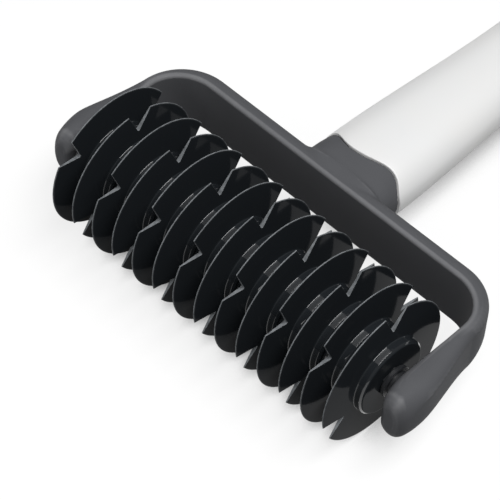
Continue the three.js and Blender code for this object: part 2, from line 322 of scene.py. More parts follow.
def piece(name, mesh, material, body, slot, *nodes):
    """Lays a finished mesh on the table as a piece that stands for its CAD nodes."""
    mesh.transform(LAY)
    mesh.materials.clear()
    mesh.materials.append(material)
    made = put_in_scene(name, mesh)
    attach(made, body)
    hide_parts(*nodes)
    triangles = sum(len(face.vertices) - 2 for face in mesh.polygons)
    sides = [round(1000 * side, 1) for side in made.dimensions]
    print(name, "has", triangles, "triangles and is", sides, "mm")


print("edges sharper than", round(math.degrees(CRISP_ANGLE)), "degrees stay crisp")

# %% [markdown]
# ## Finishes
# The tool has four finishes. The discs are polished black, the yoke is a dark grey with the fine
# grain of an etched mould, the handle is white with a satin gloss, and the axle is turned black. Real
# plastic is never one flat value: its gloss drifts, its skin has a grain, and edges that are handled
# or scrubbed turn paler. Here the paler edges are also a painted highlight, the light that edges catch.
# The patterns read Object coordinates, so the sizes below are true sizes.

# %% Helpers for finishes


def finish_tree(name):
    """A new material with an empty node tree."""
    material = bpy.data.materials.new(name)
    material.use_nodes = True
    material.node_tree.nodes.clear()
    return material, material.node_tree


def tool_spot(tree):
    """Object coordinates turned back into the tool's own frame, with the axle along X."""
    spot = Wire.node(tree, "ShaderNodeTexCoord", output="Object")
    return Wire.node(tree, "ShaderNodeMapping", None,
                     {"Vector": spot, "Location": UPRIGHT.translation, "Rotation": UPRIGHT.to_euler()})


def grain(tree, spot, size, detail=2.0):
    """Noise whose blotches are about size metres across."""
    return Wire.node(tree, "ShaderNodeTexNoise", None,
                     {"Vector": spot, "Scale": 1 / size, "Detail": detail})


def tint(tree, share, first, second):
    """A colour between two colours."""
    return Wire.node(tree, "ShaderNodeMix", {"data_type": "RGBA"},
                     {0: share, 6: (*first, 1), 7: (*second, 1)}, output=2)


def bumped(tree, height, depth, onto=None):
    sockets = {"Height": height, "Distance": depth}
    if onto:
        sockets["Normal"] = onto
    return Wire.node(tree, "ShaderNodeBump", None, sockets)


def edge_mask(tree):
    """How near a point is to an edge, from 0 to 1, as stored on the piece's own mesh."""
    return Wire.node(tree, "ShaderNodeAttribute", {"attribute_name": "edge"}, output="Fac")


def close_finish(tree, sockets):
    shader = Wire.node(tree, "ShaderNodeBsdfPrincipled", None, sockets)
    Wire.node(tree, "ShaderNodeOutputMaterial", None, {"Surface": shader})


print("finish helpers ready")

# %% [markdown]
# ### Polished black
# The discs come from a polished mould. The round sides of the hubs, which nothing rubs, keep the full
# gloss and mirror the softbox, and the blades have lost most of theirs. Two things disturb the
# reflections: a faint waviness a few millimetres long, as shrinking plastic has, and very shallow
# rings left by polishing the mould on a lathe. The thin rims have been rubbed and are duller than the
# faces. They are also paler, which is partly wear and partly a painted highlight: the bright rim line.

# %% Polished black finish
BLACK = (0.0165, 0.0192, 0.0222)
# The rim colour is rubbed wear and a painted highlight: the bright line along each rim.
RIM_WEAR_AND_HIGHLIGHT_BLACK = (0.225, 0.238, 0.250)
HUB_GLOSS = (10.6 * MM, 11.05 * MM)
WAVE_LENGTH = 5 * MM
WAVE_DEPTH = 0.006 * MM
RIM_WEAR_AND_HIGHLIGHT_PATCH = 1.5 * MM
RING_PITCH = 0.7 * MM
RING_DEPTH = 0.0015 * MM
RING_DRIFT = 0.2
RIM_WEAR_AND_HIGHLIGHT_RANGE = (0.25, 0.7, 0.45, 1.0)
BLADE_ROUGHNESS = 0.05
WAVE_ROUGHNESS = 0.06
RUB_ROUGHNESS = 0.14


def polished_black():
    material, tree = finish_tree("polished_black")
    spot = tool_spot(tree)
    along, across, up = spot.parts()
    radius = (across * across + up * up) ** 0.5
    drift = grain(tree, spot, WAVE_LENGTH)
    # Rim mask: rubbed wear and a painted highlight line, paler than the black faces.
    rim_wear_and_highlight = edge_mask(tree) * grain(tree, spot, RIM_WEAR_AND_HIGHLIGHT_PATCH, 3.0).ramp(*RIM_WEAR_AND_HIGHLIGHT_RANGE)
    rings = grain(tree, joined(tree, radius, along * RING_DRIFT, 0.0), RING_PITCH)
    wavy = bumped(tree, drift, WAVE_DEPTH)
    close_finish(tree, {
        "Base Color": tint(tree, rim_wear_and_highlight, BLACK, RIM_WEAR_AND_HIGHLIGHT_BLACK),
        "Roughness": drift * WAVE_ROUGHNESS + rim_wear_and_highlight * RUB_ROUGHNESS + BLADE_ROUGHNESS,
        "Normal": bumped(tree, rings, RING_DEPTH, wavy),
        "IOR": 1.09,
        "Coat Weight": (radius < HUB_GLOSS[1]) - (radius < HUB_GLOSS[0]),
        "Coat Roughness": 0.06,
        "Coat IOR": 1.6,
    })
    return material


black_finish = polished_black()
print("made", black_finish.name)

# %% [markdown]
# ### Etched grey
# The yoke's mould is etched, which gives a matt skin of tiny pits about a quarter of a millimetre
# apart. The pits scatter the light, so the gloss is wide and soft. Along the edges of bar and arms
# the pits are worn flat: the grey is smoother there, and paler, which is partly wear and partly a
# painted highlight along the rounded edges. The neck is spared.

# %% Etched grey finish
GREY = (0.091, 0.093, 0.100)
# The edge colour is wear and a painted highlight along the rounded edges.
EDGE_WEAR_AND_HIGHLIGHT_GREY = (0.200, 0.202, 0.210)
EDGE_WEAR_AND_HIGHLIGHT_FROM = (0.55, 0.95)
NECK_SPARED = (33 * MM, 35 * MM)
TONE_PATCH = 9 * MM
PIT_SPACING = 0.28 * MM
PIT_DEPTH = 0.020 * MM
EDGE_WEAR_AND_HIGHLIGHT_PATCHES = (0.2, 0.8, 0.65, 1.0)
EDGE_WEAR_AND_HIGHLIGHT_TINT = 0.75
PLAIN_TINT = 0.05
TONE_DRIFT = 0.10
MATT = 0.46
MATT_DRIFT = 0.10
WORN_SMOOTHER = 0.14


def etched_grey():
    material, tree = finish_tree("etched_grey")
    spot = tool_spot(tree)
    drift = grain(tree, spot, TONE_PATCH)
    pits = grain(tree, spot, PIT_SPACING, 3.0)
    _, across, _ = spot.parts()
    spared = across.ramp(*NECK_SPARED)
    # Paler edges: wear and a painted highlight, strongest on the bar's inner edge.
    edge_wear_and_highlight = edge_mask(tree).ramp(*EDGE_WEAR_AND_HIGHLIGHT_FROM) * drift.ramp(*EDGE_WEAR_AND_HIGHLIGHT_PATCHES) * (1.0 - spared)
    shade = (pits - 0.5) * TONE_DRIFT + (drift - 0.5) * TONE_DRIFT
    paler = (edge_wear_and_highlight * EDGE_WEAR_AND_HIGHLIGHT_TINT + shade + PLAIN_TINT).most(0.0)
    close_finish(tree, {
        "Base Color": tint(tree, paler, GREY, EDGE_WEAR_AND_HIGHLIGHT_GREY),
        "Roughness": MATT + drift * MATT_DRIFT - edge_wear_and_highlight * WORN_SMOOTHER,
        "Normal": bumped(tree, pits, PIT_DEPTH),
        "IOR": 1.1,
    })
    return material


grey_finish = etched_grey()
print("made", grey_finish.name)

# %% [markdown]
# ### Satin white
# The handle is smooth. Hands have dulled its gloss in patches, and its skin is like fine orange peel.
# White plastic also drifts between a cooler and a warmer white over some centimetres.

# %% Satin white finish
COOL_WHITE = (0.795, 0.800, 0.802)
WARM_WHITE = (0.820, 0.816, 0.806)
WHITE_DRIFT = 26 * MM
DULL_PATCH = 11 * MM
PEEL_SIZE = 0.9 * MM
PEEL_DEPTH = 0.006 * MM
WHITE_RANGE = (0.3, 0.7)
DULL_RANGE = (0.3, 0.75, 0.30, 0.42)


def satin_white():
    material, tree = finish_tree("satin_white")
    spot = tool_spot(tree)
    drift = grain(tree, spot, WHITE_DRIFT)
    patches = grain(tree, spot, DULL_PATCH, 4.0)
    peel = grain(tree, spot, PEEL_SIZE)
    close_finish(tree, {
        "Base Color": tint(tree, drift.ramp(*WHITE_RANGE), COOL_WHITE, WARM_WHITE),
        "Roughness": patches.ramp(*DULL_RANGE),
        "Normal": bumped(tree, peel, PEEL_DEPTH),
        "IOR": 1.47,
    })
    return material


white_finish = satin_white()
print("made", white_finish.name)

# %% [markdown]
# ### Turned black
# The axle is black too, but it was turned and not polished. Fine rings run round it.

# %% Turned black finish
AXLE_BLACK = (0.012, 0.013, 0.015)
AXLE_GREY = (0.030, 0.031, 0.034)
TURNING_PITCH = 0.15 * MM
TURNING_DEPTH = 0.006 * MM
TURNING_RUN = 0.1
DULL_SPOT = 3 * MM
TURNING_RANGE = (0.35, 0.75)
AXLE_ROUGHNESS = 0.30
SPOT_ROUGHNESS = 0.15


def turned_black():
    material, tree = finish_tree("turned_black")
    spot = tool_spot(tree)
    along, across, up = spot.parts()
    rings = grain(tree, joined(tree, along, across * TURNING_RUN, up * TURNING_RUN), TURNING_PITCH)
    close_finish(tree, {
        "Base Color": tint(tree, rings.ramp(*TURNING_RANGE), AXLE_BLACK, AXLE_GREY),
        "Roughness": AXLE_ROUGHNESS + grain(tree, spot, DULL_SPOT) * SPOT_ROUGHNESS,
        "Normal": bumped(tree, rings, TURNING_DEPTH),
        "IOR": 1.48,
    })
    return material


axle_finish = turned_black()
print("made", axle_finish.name)

# %% [markdown]
# ## The cutter discs
# Each disc is one moulding: a blade that thins toward its rim, three V notches, and a hub that spaces
# it from the next disc. All fourteen are alike, and every second one is turned by a sixth of a turn.
# That is a rule, so a tree makes them. It starts from the half section that a turner would draw,
# sweeps it round, pulls the rim in where a notch is, and repeats the disc along the axle. The rim has
# a small round nose, which catches the light as a bright line; a paler band on the rim adds a painted
# highlight to it.

# %% The half section of a disc
DISC_RADIUS = 20.93 * MM
HUB_RADIUS = 11 * MM
RIM_THICKNESS = 0.3 * MM
ROOT_THICKNESS = 1.6 * MM
HUB_LEAD = 3.3 * MM
HUB_TRAIL = 3.8 * MM
HUB_CHAMFER = 0.6 * MM
HUB_EDGE = 0.2 * MM
ROOT_FILLET = 0.3 * MM
RIM_NOSE = 0.13 * MM
BORE_FLATS = 7.5 * MM
HOLD = 0.35 * MM
ARC_STEPS = 3


def rounded_outline(corners, steps):
    """A closed outline through corners of (x, y, radius).

    Points near each arc hold its curve off the flats.
    """
    arcs = []
    for k, (x, y, radius) in enumerate(corners):
        here = Vector((x, y))
        back = (Vector(corners[k - 1][:2]) - here).normalized()
        ahead = (Vector(corners[(k + 1) % len(corners)][:2]) - here).normalized()
        half = back.angle(ahead) / 2
        if radius == 0:
            arcs.append([here])
            continue
        middle = here + (back + ahead).normalized() * radius / math.sin(half)
        start = here + back * radius / math.tan(half) - middle
        turn = start.angle_signed(here + ahead * radius / math.tan(half) - middle)
        arcs.append([middle + Matrix.Rotation(-turn * s / steps, 2) @ start for s in range(steps + 1)])
    outline = []
    for arc, after in zip(arcs, arcs[1:] + arcs[:1]):
        outline += arc
        gap = after[0] - arc[-1]
        if gap.length > 3 * HOLD:
            outline += [arc[-1] + gap.normalized() * HOLD, after[0] - gap.normalized() * HOLD]
    return outline


rim = RIM_THICKNESS / 2
root = ROOT_THICKNESS / 2
disc_section = rounded_outline([
    (-HUB_TRAIL, BORE_FLATS / 2, 0),
    (-HUB_TRAIL, HUB_RADIUS - HUB_CHAMFER, HUB_EDGE),
    (-HUB_TRAIL + HUB_CHAMFER, HUB_RADIUS, HUB_EDGE),
    (-root, HUB_RADIUS, ROOT_FILLET),
    (-rim, DISC_RADIUS, RIM_NOSE),
    (rim, DISC_RADIUS, RIM_NOSE),
    (root, HUB_RADIUS, ROOT_FILLET),
    (HUB_LEAD - HUB_CHAMFER, HUB_RADIUS, HUB_EDGE),
    (HUB_LEAD, HUB_RADIUS - HUB_CHAMFER, HUB_EDGE),
    (HUB_LEAD, BORE_FLATS / 2, 0),
], ARC_STEPS)
print("the section has", len(disc_section), "points")

# %% [markdown]
# The tree works on two stored values: the point of the section that a vertex came from, and its
# column round the disc. The columns crowd together at a notch, so that its corners and its root are
# met exactly. Within a notch the rim follows a straight line, written in polar form.

# %% The tree sweeps the section round
NOTCH_HALF_ANGLE = math.radians(10.4)
NOTCH_ANGLE = math.radians(82.6)
THIRD = 2 * math.pi / 3
SIDE_COLUMNS = 4
disc_sizes = {
    "Columns in a third": 34,
    "Rim radius": DISC_RADIUS,
    "Hub radius": HUB_RADIUS,
    "Rim half thickness": rim,
    "Root half thickness": root,
    "Notch half angle": NOTCH_HALF_ANGLE,
    "Notch depth": 6.3 * MM,
    "Notch root width": 0.5 * MM,
    "Discs": 14,
    "Pitch": 7.4 * MM,
    "First disc": -49.3 * MM,
    "Turn": math.pi / 3,
    "Finish": black_finish,
}
disc_tree, size = growing_tree("cutter_discs", disc_sizes)

section = Wire.node(disc_tree, "GeometryNodeMeshToCurve", None, {"Mesh": size["Geometry"]})
drawn_at = Wire.node(disc_tree, "GeometryNodeInputPosition")
section = stored(disc_tree, section, "FLOAT_VECTOR", "section", drawn_at)
circle = Wire.node(disc_tree, "GeometryNodeCurvePrimitiveCircle", {"mode": "RADIUS"},
                   {"Resolution": size["Columns in a third"] * 3})
circle = stored(disc_tree, circle, "FLOAT", "column", Wire.node(disc_tree, "GeometryNodeInputIndex"))
disc = Wire.node(disc_tree, "GeometryNodeCurveToMesh", None,
                 {"Curve": circle, "Profile Curve": section})
print("a disc has", 3 * disc_sizes["Columns in a third"], "columns")

# %% The tree pulls the rim in at the notches
# The band at the rim that the finish paints paler: rubbed wear and a painted highlight.
RIM_WEAR_AND_HIGHLIGHT_BAND = (0.986, 0.994)
BORE_LIMIT = 0.6 * HUB_RADIUS
columns = size["Columns in a third"] * 1.0
column = named(disc_tree, "FLOAT", "column")
third = (column / columns).floor()
step = column - third * columns - columns * 0.5
steps_out = abs(step)
root_radius = size["Rim radius"] - size["Notch depth"]
root_angle = size["Notch root width"] * 0.5 / root_radius
notch = size["Notch half angle"]
off_centre = (steps_out.ramp(0.0, 1.0) * root_angle
              + steps_out.ramp(1.0, 1.0 + SIDE_COLUMNS) * (notch - root_angle)
              + steps_out.ramp(1.0 + SIDE_COLUMNS, columns * 0.5) * (THIRD / 2 - notch))
angle = third * THIRD + step.sign() * off_centre + NOTCH_ANGLE

corner_out = size["Rim radius"] * notch.cos()
corner_side = size["Rim radius"] * notch.sin()
fall_out = root_radius - corner_out
fall_side = size["Notch root width"] * 0.5 - corner_side
line = ((fall_side * corner_out - fall_out * corner_side)
        / (fall_side * off_centre.cos() - fall_out * off_centre.sin()))
rim_here = size["Rim radius"] - (size["Rim radius"] - line.most(root_radius)) * (off_centre < notch)

along, radius, _ = named(disc_tree, "FLOAT_VECTOR", "section").parts()
share = radius.ramp(size["Hub radius"], size["Rim radius"])
pulled = radius - share * (size["Rim radius"] - rim_here)
pulled_share = pulled.ramp(size["Hub radius"], size["Rim radius"])
thinning = size["Root half thickness"] - size["Rim half thickness"]
fatter = ((size["Root half thickness"] - pulled_share * thinning)
          / (size["Root half thickness"] - share * thinning))
in_bore = radius < BORE_LIMIT
bored = pulled * (1.0 + in_bore * (1.0 / (off_centre - math.pi / 6).cos() - 1.0))
swept_to = joined(disc_tree, along * fatter, bored * angle.cos(), bored * angle.sin())
disc = placed(disc_tree, disc, swept_to)
disc = stored(disc_tree, disc, "FLOAT", "edge", share.ramp(*RIM_WEAR_AND_HIGHLIGHT_BAND))
print("each notch is", round(math.degrees(2 * NOTCH_HALF_ANGLE), 1), "degrees wide at the rim")

# %% The tree stacks the discs along the axle
row = Wire.node(disc_tree, "GeometryNodeMeshLine", {"mode": "OFFSET"},
                {"Count": size["Discs"],
                 "Start Location": joined(disc_tree, size["First disc"], 0.0, 0.0),
                 "Offset": joined(disc_tree, size["Pitch"], 0.0, 0.0)})
place_in_row = Wire.node(disc_tree, "GeometryNodeInputIndex") * 0.5
turned_disc = 1.0 - (place_in_row - place_in_row.floor()) * 2.0
spin = Wire.node(disc_tree, "FunctionNodeEulerToRotation", None,
                 {"Euler": joined(disc_tree, turned_disc * size["Turn"], 0.0, 0.0)})
stack = Wire.node(disc_tree, "GeometryNodeInstanceOnPoints", None,
                  {"Points": row, "Instance": disc, "Rotation": spin})
stack = Wire.node(disc_tree, "GeometryNodeRealizeInstances", None, {"Geometry": stack})
stack = Wire.node(disc_tree, "GeometryNodeSetMaterial", None,
                  {"Geometry": stack, "Material": size["Finish"]})
Wire.node(disc_tree, "NodeGroupOutput", None, {0: stack})
print("the disc tree has", len(disc_tree.nodes), "nodes")

# %% Grow the stack of discs
outline_mesh = bpy.data.meshes.new("disc_outline")
count = len(disc_section)
outline_edges = [(k, (k + 1) % count) for k in range(count)]
outline_mesh.from_pydata([(p.x, p.y, 0) for p in disc_section], outline_edges, [])
disc_mesh = settled(grown("cutter_discs", disc_tree, outline_mesh, disc_sizes))
disc_nodes = sorted(name for name in frame["nodes"] if name.startswith("cutter_disc"))
piece("cutter_discs", disc_mesh, black_finish, "roller", "black_disc", *disc_nodes)

# %% [markdown]
# ## The axle
# The axle is a hexagonal bar inside the hubs. Of it only the stub at the right shows: a flange that
# holds the hubs, a shoulder, and the journal that runs in the arm.

# %% Turn the axle
ARM_INNER = 53.9
END_PLAY = 0.8
SOCKET_DEPTH = 4
PIN_GAP = 0.3
PIN_RADIUS = 2.6
FLANGE_START = 50.5
FLANGE_END = 51.8
FLANGE_RADIUS = 4.6
SHOULDER_RADIUS = 3.4
BAR_START = -52.8
BAR_FLATS = 7.2
PIN_SIDES = 40
EDGE = 0.2
JOIN = 1


def ring_about_x(x, radius, sides=PIN_SIDES, turn=0.0):
    angles = [turn + 2 * math.pi * k / sides for k in range(sides)]
    return [Vector((x, radius * math.cos(a), radius * math.sin(a))) * MM for a in angles]


def turned_rings(profile):
    return [ring_about_x(x, radius) for x, radius in profile]


shoulder_end = ARM_INNER - END_PLAY
pin_end = ARM_INNER + SOCKET_DEPTH - PIN_GAP
left_journal = turned_rings([
    (-pin_end, PIN_RADIUS - EDGE), (EDGE - pin_end, PIN_RADIUS), (BAR_START + JOIN, PIN_RADIUS),
])
right_end = turned_rings([
    (FLANGE_START, FLANGE_RADIUS - EDGE), (FLANGE_START + EDGE, FLANGE_RADIUS),
    (FLANGE_END - EDGE, FLANGE_RADIUS), (FLANGE_END, FLANGE_RADIUS - EDGE),
    (FLANGE_END, SHOULDER_RADIUS), (shoulder_end - EDGE, SHOULDER_RADIUS),
    (shoulder_end, SHOULDER_RADIUS - EDGE), (shoulder_end, PIN_RADIUS),
    (pin_end - EDGE, PIN_RADIUS), (pin_end, PIN_RADIUS - EDGE),
])
bar_corner = BAR_FLATS / math.sqrt(3)
hexagon = [ring_about_x(x, bar_corner, 6, NOTCH_ANGLE) for x in (BAR_START, FLANGE_START + EDGE)]
axle_mesh = new_skin("axle", left_journal, right_end, hexagon)
piece("axle_bar", axle_mesh, axle_finish, "roller", "black_axle", "axle")

# %% [markdown]
# ## The yoke
# The yoke is a strip led round a U: a tall back bar, two rounded corners, and two arms that swell
# into pads. A shape that follows a path suits a tree: the path carries five sizes of the section at
# each of its points, and the tree lays a section round it that is flat inside and rounds over
# outside. The neck is a skin of its own. The two overlap, and a voxel remesh melts them into one
# moulding with a small fillet between them, as the mould has it.

# %% Sizes of the strip, in mm
BAR_FRONT = 29.7
BAR_THICKNESS = 5.2
BAR_HEIGHT = 18.2
CORNER_RADIUS = 13
ARM_WAIST = 3.6
ARM_WAIST_HEIGHT = 17.2
ARM_BOW = 0.95
ARM_EASE = 0.25
PAD_THICKNESS = 9.1
PAD_HEIGHT = 17
PAD_REACH = 10.2
PAD_ROUNDING = 9.2
PAD_TIP = (2.0, 5.5)
TIP_POWER = 3.5
INNER_EDGES = (0.8, 2.8)
OUTER_ROUNDS = (4.2, 9.4, 8.4)
TOP_ROUNDS = (3.2, 3.0, 3.2)
TOP_BREADTH = 1.4
EVENED_STATIONS = (34, 50)
EVEN_ROUNDS = 6
SECTION_SIZES = ("thickness", "height", "inner", "outer", "top")
print("the bar is", BAR_THICKNESS, "by", BAR_HEIGHT, "and a pad", PAD_THICKNESS, "by", PAD_HEIGHT, "mm")

# %% The path of the strip, with the sizes of its section
BAR_STEPS = 8
CORNER_STEPS = 16
ARM_STEPS = 20
TIP_STEPS = 14


def smooth(t):
    t = min(max(t, 0), 1)
    return t * t * (3 - 2 * t)


def mix(a, b, t):
    return a + (b - a) * t


def strip_stations():
    """Half of the U, from the bar's middle to a pad's tip: x, y and the section's sizes, in mm.

    The stations round the start of the pad are evened out, so that arm and pad run into each other.
    """
    corner_x = ARM_INNER + ARM_BOW + ARM_WAIST / 2 - CORNER_RADIUS
    corner_y = BAR_FRONT + BAR_THICKNESS / 2 - CORNER_RADIUS
    bar_inner, pad_inner = INNER_EDGES
    bar_outer, arm_outer, pad_outer = OUTER_ROUNDS
    bar_top, arm_top, pad_top = TOP_ROUNDS
    stations = []
    for k in range(1, BAR_STEPS):
        stations.append((corner_x * k / BAR_STEPS, corner_y + CORNER_RADIUS, BAR_THICKNESS, BAR_HEIGHT,
                         bar_inner, bar_outer, bar_top))
    for k in range(CORNER_STEPS + 1):
        t = k / CORNER_STEPS
        turn = math.pi / 2 * (1 - t)
        x = corner_x + CORNER_RADIUS * math.cos(turn)
        y = corner_y + CORNER_RADIUS * math.sin(turn)
        ease = smooth(t)
        stations.append((x, y, mix(BAR_THICKNESS, ARM_WAIST, ease), BAR_HEIGHT,
                         bar_inner, mix(bar_outer, arm_outer, ease), mix(bar_top, arm_top, ease)))
    pad_start = PAD_ROUNDING - PAD_REACH
    waist = ARM_WAIST_HEIGHT - (BAR_HEIGHT + PAD_HEIGHT) / 2
    for k in range(1, ARM_STEPS + 1):
        t = k / ARM_STEPS
        swell = mix(t, smooth(t), ARM_EASE)
        thickness = mix(ARM_WAIST, PAD_THICKNESS, swell)
        stations.append((ARM_INNER + ARM_BOW * (1 - swell) + thickness / 2, mix(corner_y, pad_start, t),
                         thickness, mix(BAR_HEIGHT, PAD_HEIGHT, t) + waist * 4 * t * (1 - t),
                         mix(bar_inner, pad_inner, swell), mix(arm_outer, pad_outer, swell),
                         mix(arm_top, pad_top, swell)))
    for k in range(1, TIP_STEPS + 1):
        reach = math.sin(math.pi / 2 * k / TIP_STEPS)
        swell = math.sqrt(max(0, 1 - reach ** TIP_POWER))
        thickness = mix(PAD_TIP[0], PAD_THICKNESS, swell)
        height = mix(PAD_TIP[1], PAD_HEIGHT, swell)
        stations.append((ARM_INNER + PAD_THICKNESS / 2, pad_start - PAD_ROUNDING * reach,
                         thickness, height,
                         mix(pad_inner, thickness / 2, reach), mix(pad_outer, height / 2, reach),
                         mix(pad_top, height / 2, reach)))
    first, last = EVENED_STATIONS
    for _ in range(EVEN_ROUNDS):
        trios = [stations[k - 1:k + 2] for k in range(first, last)]
        stations[first:last] = [tuple((a + 2 * b + c) / 4 for a, b, c in zip(*trio)) for trio in trios]
    return stations


half_u = strip_stations()
whole_u = [(-station[0], *station[1:]) for station in reversed(half_u)] + half_u
path_mesh = bpy.data.meshes.new("yoke_path")
path_mesh.from_pydata([(station[0] * MM, station[1] * MM, 0) for station in whole_u],
                      [(k, k + 1) for k in range(len(whole_u) - 1)], [])
for place, label in enumerate(SECTION_SIZES, 2):
    values = path_mesh.attributes.new(label, "FLOAT", "POINT")
    values.data.foreach_set("value", [station[place] * MM for station in whole_u])
print("the path has", len(whole_u), "stations")

# %% The tree that lays the strip round its path
MOST_ROUNDING = 0.48
OUTER_SHARE = 0.94
strip_sizes = {"Points round": 56, "Finish": grey_finish}
strip_tree, size = growing_tree("yoke_strip", strip_sizes)
path = Wire.node(strip_tree, "GeometryNodeMeshToCurve", None, {"Mesh": size["Geometry"]})
path_spot = Wire.node(strip_tree, "GeometryNodeInputPosition")
path = stored(strip_tree, path, "FLOAT_VECTOR", "middle", path_spot)
ahead_x, ahead_y, _ = Wire.node(strip_tree, "GeometryNodeInputTangent").parts()
sideways = joined(strip_tree, ahead_y * -1.0, ahead_x, 0.0)
path = stored(strip_tree, path, "FLOAT_VECTOR", "across", sideways)
ring = Wire.node(strip_tree, "GeometryNodeCurvePrimitiveCircle", {"mode": "RADIUS"},
                 {"Resolution": size["Points round"]})
ring = stored(strip_tree, ring, "FLOAT", "round", Wire.node(strip_tree, "GeometryNodeInputIndex"))
strip = Wire.node(strip_tree, "GeometryNodeCurveToMesh", None,
                  {"Curve": path, "Profile Curve": ring, "Fill Caps": True})

turn = (named(strip_tree, "FLOAT", "round") + 0.5) / size["Points round"] * (2 * math.pi)
sizes = [named(strip_tree, "FLOAT", label) for label in SECTION_SIZES]
thickness, height, inner_edge, outer_round, top_round = sizes
inner_edge = inner_edge.least(thickness * MOST_ROUNDING).least(height * MOST_ROUNDING)
upper = (turn.sin().sign() + 1.0) * 0.5
outer_round = (upper * top_round + (1.0 - upper) * outer_round).least(height * MOST_ROUNDING)
full_width = (thickness - inner_edge) * OUTER_SHARE
outer_width = upper * full_width.least(top_round * TOP_BREADTH) + (1.0 - upper) * full_width
outside = (turn.cos().sign() + 1.0) * 0.5
outer_side = thickness * 0.5 - outer_width + outer_width * turn.cos()
inner_side = inner_edge - thickness * 0.5 + inner_edge * turn.cos()
side = outside * outer_side + (1.0 - outside) * inner_side
bend = outside * outer_round + (1.0 - outside) * inner_edge
rise = turn.sin().sign() * (height * 0.5 - bend) + bend * turn.sin()
across_x, across_y, _ = named(strip_tree, "FLOAT_VECTOR", "across").parts()
middle_x, middle_y, _ = named(strip_tree, "FLOAT_VECTOR", "middle").parts()
strip = placed(strip_tree, strip,
               joined(strip_tree, middle_x + across_x * side, middle_y + across_y * side, rise))
strip = Wire.node(strip_tree, "GeometryNodeRealizeInstances", None, {"Geometry": strip})
strip = Wire.node(strip_tree, "GeometryNodeSetMaterial", None,
                  {"Geometry": strip, "Material": size["Finish"]})
Wire.node(strip_tree, "NodeGroupOutput", None, {0: strip})
strip_mesh = settled(grown("yoke_strip", strip_tree, path_mesh, strip_sizes))
print("the strip has", len(strip_mesh.polygons), "faces")

# %% [markdown]
# The neck and the handle share one oval section, a rounded shape between an ellipse and an oblong. It
# narrows to a waist behind the mouth and swells again toward the tail. The mouth, where grey meets
# white, waves back and forth over the upper side and bows toward the bar below.

# %% The oval of the neck and the handle
MOUTH_Y = 41.8
MOUTH_SIZE = (28.5, 18)
WAIST_SIZE = (22.9, 16.2)
TAIL_SIZE = (25.8, 16.4)
WAIST_AFTER = 68
TAIL_AFTER = 42
MOUTH_WAVE = 2.4
MOUTH_WAVES = 4
MOUTH_TURN = math.radians(10)
MOUTH_DROP = 2.5
TAIL_END = 172.8
TAIL_ROUNDING = 13
SHELL_WALL = 2.6
SEAM = 0.3
HOLE_RADIUS = 4
HOLE_INSET = 12
OVAL_SIDES = 72
OVAL_POWER = 2 / 2.3
BEHIND_WAVE = 2
INNER_START = MOUTH_Y + MOUTH_WAVE + BEHIND_WAVE
CAVITY_END = TAIL_END - HOLE_INSET - HOLE_RADIUS - SHELL_WALL


def oval_half(y):
    """Half the width and half the height of the handle at a place along it, in mm."""
    to_waist = smooth((y - MOUTH_Y) / WAIST_AFTER)
    to_tail = smooth((y - MOUTH_Y - WAIST_AFTER) / TAIL_AFTER)
    trios = zip(MOUTH_SIZE, WAIST_SIZE, TAIL_SIZE)
    return [mix(mix(mouth, waist, to_waist), tail, to_tail) / 2 for mouth, waist, tail in trios]


def mouth_at(angle):
    """Where the mouth is along Y: a wave on the upper side, and one bow toward the bar below."""
    turned = angle - MOUTH_TURN
    if math.sin(turned) < 0:
        return MOUTH_Y - MOUTH_DROP * math.sin(turned) ** 2
    return MOUTH_Y + MOUTH_WAVE * (1 - math.cos(MOUTH_WAVES * turned)) / 2


def oval(place, inset=0.0, swell=(1, 1), power=OVAL_POWER):
    """A ring of the oval. The place and the inset may be numbers or may change with the angle."""
    ring_points = []
    for k in range(OVAL_SIDES):
        angle = 2 * math.pi * k / OVAL_SIDES
        y = place(angle) if callable(place) else place
        less = inset(angle) if callable(inset) else inset
        a, b = oval_half(max(y, MOUTH_Y))
        c, s = math.cos(angle), math.sin(angle)
        x = (a * swell[0] - less) * math.copysign(abs(c) ** power, c)
        z = (b * swell[1] - less) * math.copysign(abs(s) ** power, s)
        ring_points.append(Vector((x, y, z)) * MM)
    return ring_points


print("at the mouth the handle is", [2 * half for half in oval_half(MOUTH_Y)], "mm")

# %% The neck and its tang
NECK_STEP = 0.3
NECK_FILLET = 1
NECK_STEPS = 8
NECK_SHARES = (0.5, 0.7, 0.9)
FILLET_SHARE = 0.04
FLAT_POWER = 2 / 3
BAR_BACK = BAR_FRONT + BAR_THICKNESS
TANG_INSET = SHELL_WALL + SEAM
TANG_START = INNER_START + 5
NECK_END = INNER_START + 6
TANG_STEPS = 4


def neck_ring(place, spread, share):
    """A ring of the neck. Its top is flat and level with the bar's at share 0, and oval at share 1."""
    level = mix((BAR_HEIGHT / 2 + NECK_STEP) / oval_half(MOUTH_Y)[1], 1, share)
    return oval(place, lambda angle: NECK_STEP - spread * abs(math.cos(angle)), (1, level),
                mix(FLAT_POWER, OVAL_POWER, share))


def neck_mouth(angle):
    """Where the neck stops short of the handle's mouth."""
    return mouth_at(angle) - SEAM


